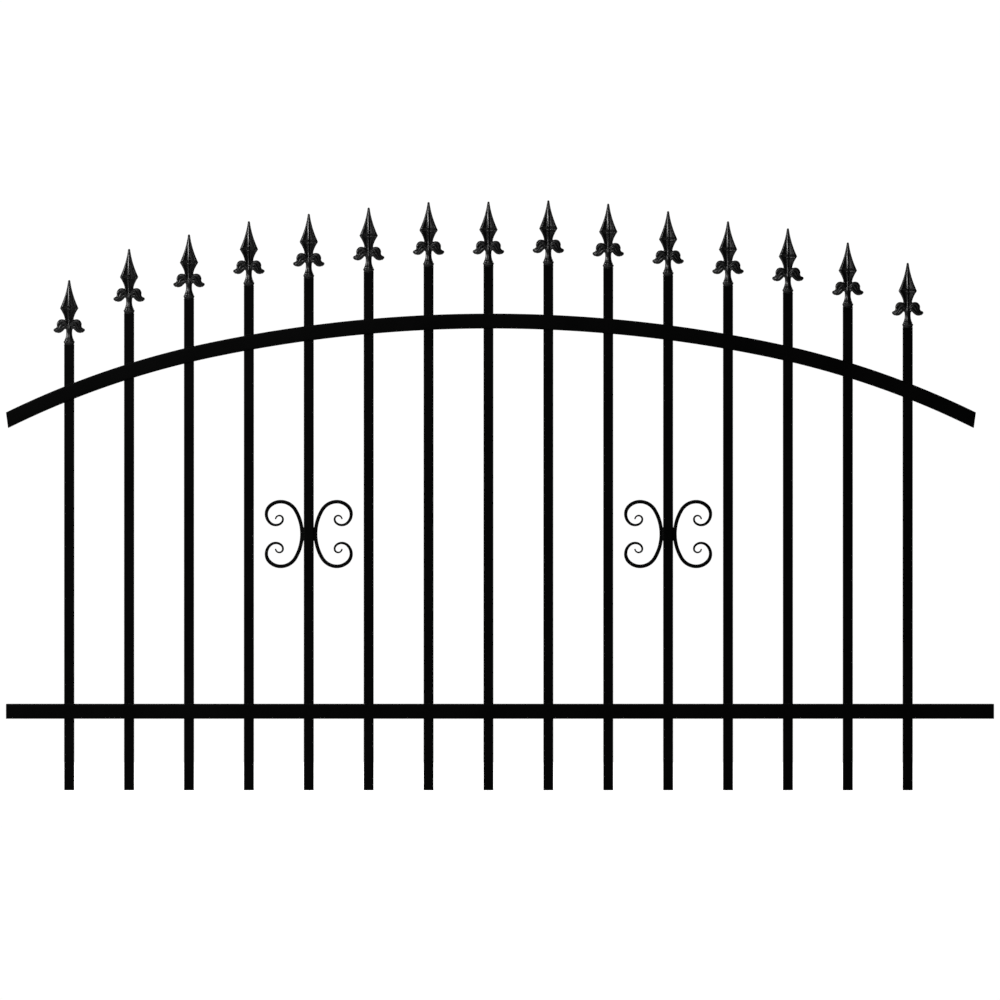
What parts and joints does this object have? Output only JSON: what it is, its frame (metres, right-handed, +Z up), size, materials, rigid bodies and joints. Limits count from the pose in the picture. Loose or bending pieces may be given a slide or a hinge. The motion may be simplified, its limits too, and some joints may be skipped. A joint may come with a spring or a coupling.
{
  "type": "garden gate",
  "caption": "Arched black steel railing panel for a garden gate or fence line: square bars through a straight and an arched rail, spear finials and C scrolls.",
  "frame": {"origin": "under the bar feet, below the middle of the bottom rail, halfway through the tubes' depth", "axes": "+X along the rails to the right as seen from the front, +Y from front to back, +Z up the bars"},
  "size_m": [2, 0.03, 1.1955],
  "materials": {
    "frame_coat": "satin black powder coat",
    "scroll_coat": "satin black powder coat",
    "weld_metal": "powder coat over a rippled bead",
    "finial_iron": "satin black paint over a sand-cast skin",
    "plug_plastic": "moulded polyethylene"
  },
  "bodies": {
    "root": {"bar_01": "frame_coat", "bar_02": "frame_coat", "bar_03": "frame_coat", "bar_04": "frame_coat", "bar_05": "frame_coat", "bar_06": "frame_coat", "bar_07": "frame_coat", "bar_08": "frame_coat", "bar_09": "frame_coat", "bar_10": "frame_coat", "bar_11": "frame_coat", "bar_12": "frame_coat", "bar_13": "frame_coat", "bar_14": "frame_coat", "bar_15": "frame_coat", "bar_foot_plugs": "plug_plastic", "bottom_rail": "frame_coat", "bottom_rail_end_left": "frame_coat", "bottom_rail_end_right": "frame_coat", "bottom_rail_welds": "weld_metal", "finial_01": "finial_iron", "finial_02": "finial_iron", "finial_03": "finial_iron", "finial_04": "finial_iron", "finial_05": "finial_iron", "finial_06": "finial_iron", "finial_07": "finial_iron", "finial_08": "finial_iron", "finial_09": "finial_iron", "finial_10": "finial_iron", "finial_11": "finial_iron", "finial_12": "finial_iron", "finial_13": "finial_iron", "finial_14": "finial_iron", "finial_15": "finial_iron", "finial_welds": "weld_metal", "scroll_05_left": "scroll_coat", "scroll_05_right": "scroll_coat", "scroll_11_left": "scroll_coat", "scroll_11_right": "scroll_coat", "scroll_welds": "weld_metal", "top_rail": "frame_coat", "top_rail_end_left": "frame_coat", "top_rail_end_right": "frame_coat", "top_rail_welds": "weld_metal"}
  },
  "joints": []
}
